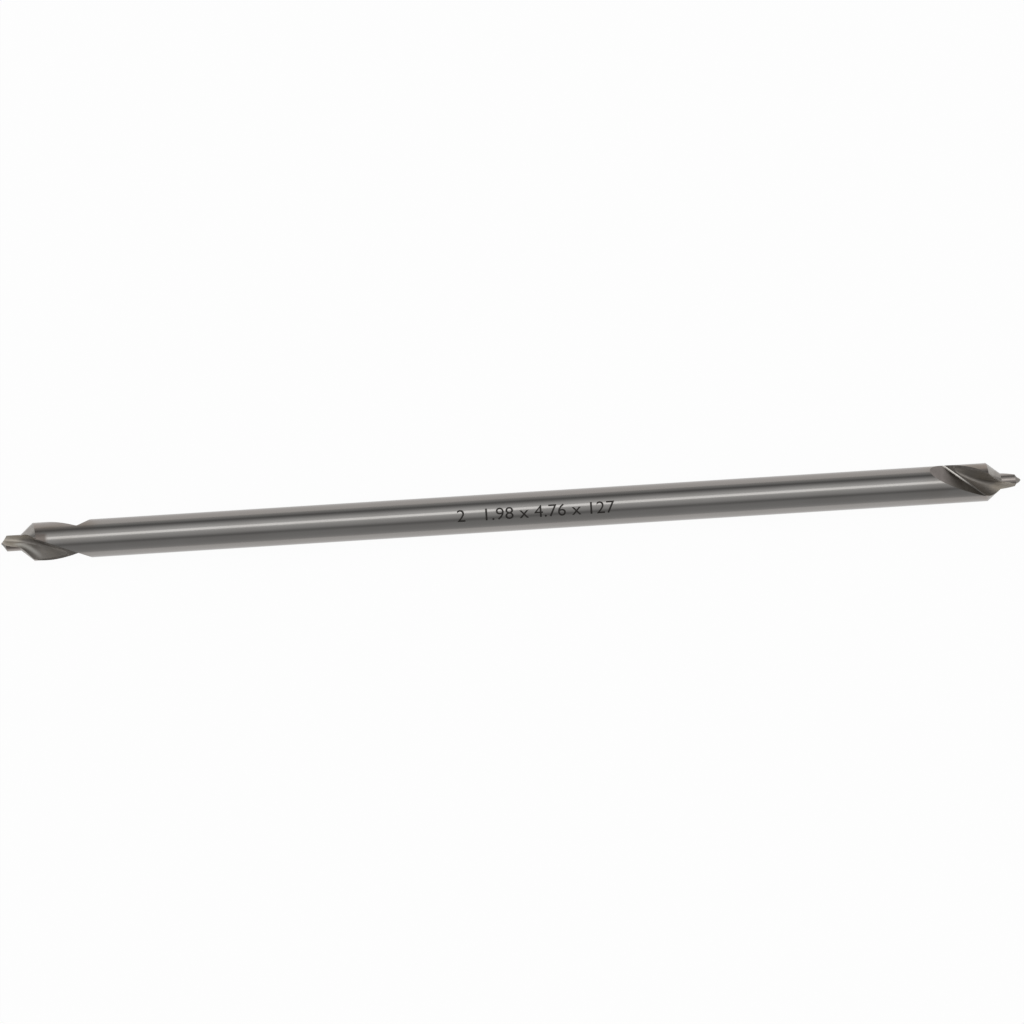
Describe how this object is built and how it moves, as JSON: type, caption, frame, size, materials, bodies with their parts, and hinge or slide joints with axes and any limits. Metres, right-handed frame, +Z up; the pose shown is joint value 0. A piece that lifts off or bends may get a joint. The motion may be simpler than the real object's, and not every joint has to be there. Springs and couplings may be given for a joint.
{
  "type": "centre drill",
  "caption": "Extra-long double-ended centre drill: slim round shank with a short pilot drill, a countersink cone and helical flutes at each end.",
  "frame": {"origin": "on the drill's axis, halfway between the two tips", "axes": "+X along the drill's axis towards one tip, +Z up towards the camera, as the drill lies in the picture"},
  "size_m": [0.127, 0.0048, 0.0048],
  "materials": {
    "ground_steel": "bright ground high-speed steel"
  },
  "bodies": {
    "root": {"centre_drill": "ground_steel"}
  },
  "joints": []
}
